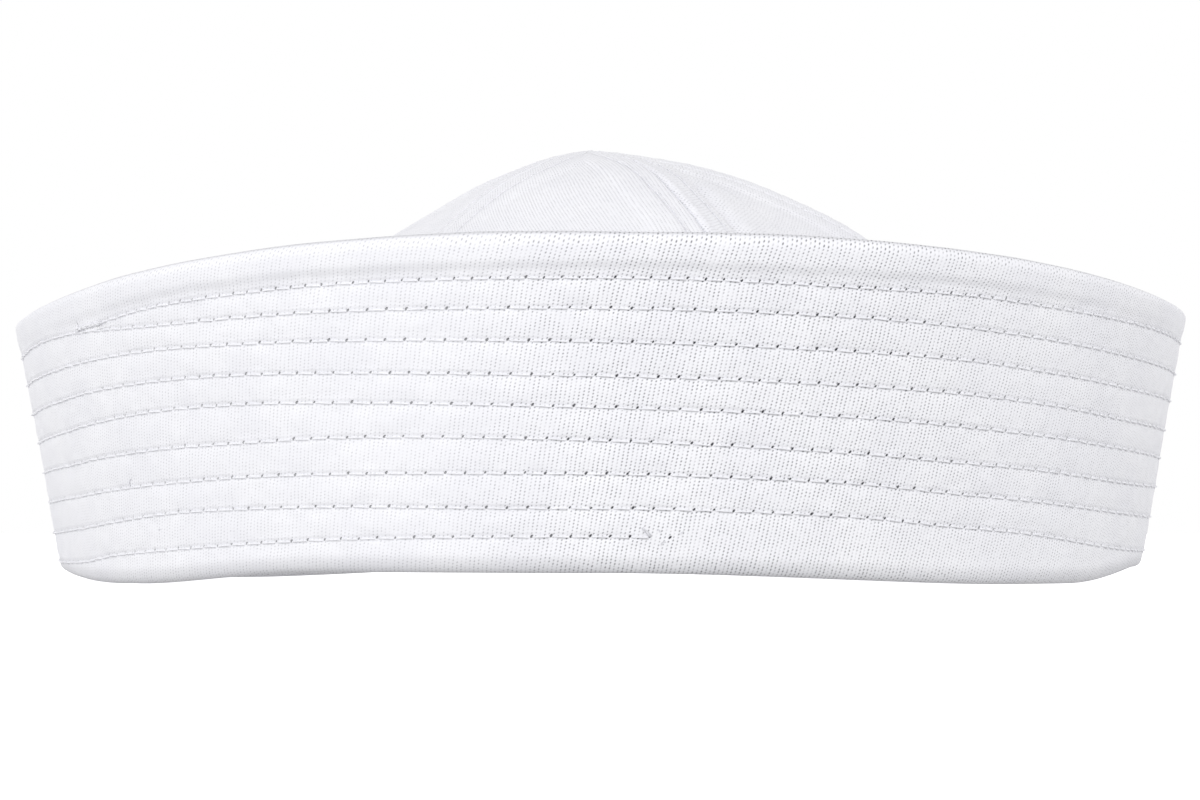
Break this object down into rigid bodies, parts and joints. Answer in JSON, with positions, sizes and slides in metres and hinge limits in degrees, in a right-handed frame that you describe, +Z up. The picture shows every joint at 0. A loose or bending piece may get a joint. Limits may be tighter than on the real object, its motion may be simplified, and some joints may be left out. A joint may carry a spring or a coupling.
{
  "type": "sailor cap",
  "caption": "Round cotton cap with a soft gored crown and a stiff stitched brim turned up all round.",
  "frame": {"origin": "on the surface that the cap stands on, below the middle of its outline", "axes": "+Z up through the crown, the cap's front towards -Y, +X to the right of someone who faces that front"},
  "size_m": [0.2064, 0.21, 0.0761],
  "materials": {
    "brim_cotton": "matt white cotton drill",
    "crown_cotton": "matt white cotton drill"
  },
  "bodies": {
    "root": {"brim": "brim_cotton", "crown_panel_1": "crown_cotton", "crown_panel_2": "crown_cotton", "crown_panel_3": "crown_cotton", "crown_panel_4": "crown_cotton", "crown_panel_5": "crown_cotton", "crown_panel_6": "crown_cotton"}
  },
  "joints": []
}
